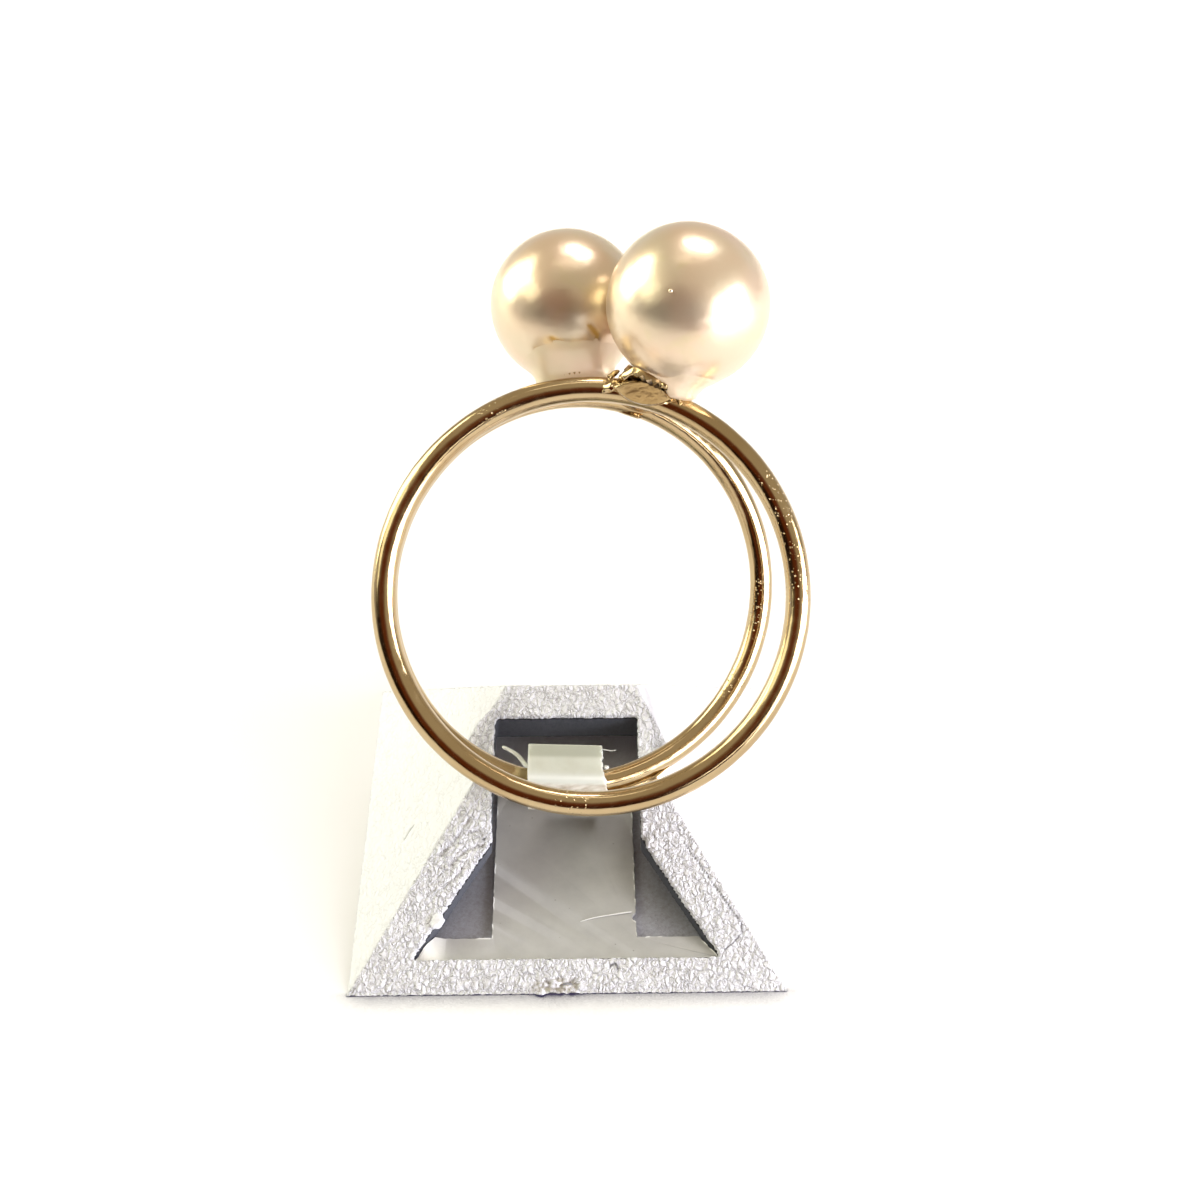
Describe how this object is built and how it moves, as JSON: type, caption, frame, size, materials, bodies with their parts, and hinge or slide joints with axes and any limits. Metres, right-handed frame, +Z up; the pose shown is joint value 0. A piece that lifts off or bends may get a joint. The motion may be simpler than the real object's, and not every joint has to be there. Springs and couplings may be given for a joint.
{
  "type": "pearl ring on display stand",
  "caption": "Gold wire ring with double band and pearls on small cups, leaning in a plastic clip on a low white leatherette display stand.",
  "frame": {"origin": "middle of the stand's underside, on the surface it rests on", "axes": "+Z up, -Y the side of the keyhole opening that the picture looks at, +X to the right in the picture"},
  "size_m": [0.0218, 0.0266, 0.0297],
  "materials": {
    "gold": "polished yellow gold with fine scratches",
    "pearl": "cream nacre with a high lustre",
    "clip_plastic": "translucent white plastic strap",
    "leatherette": "white leatherette with a pebbled grain",
    "dark_board": "dull purple-grey board",
    "white_sheet": "smooth white sheet with raw cut edges"
  },
  "bodies": {
    "root": {"ring_metal": "gold", "pearl_front": "pearl", "pearl_rear": "pearl", "ring_clip": "clip_plastic", "stand_shell": "leatherette", "bottom_board": "dark_board", "base_sheet": "white_sheet"}
  },
  "joints": []
}
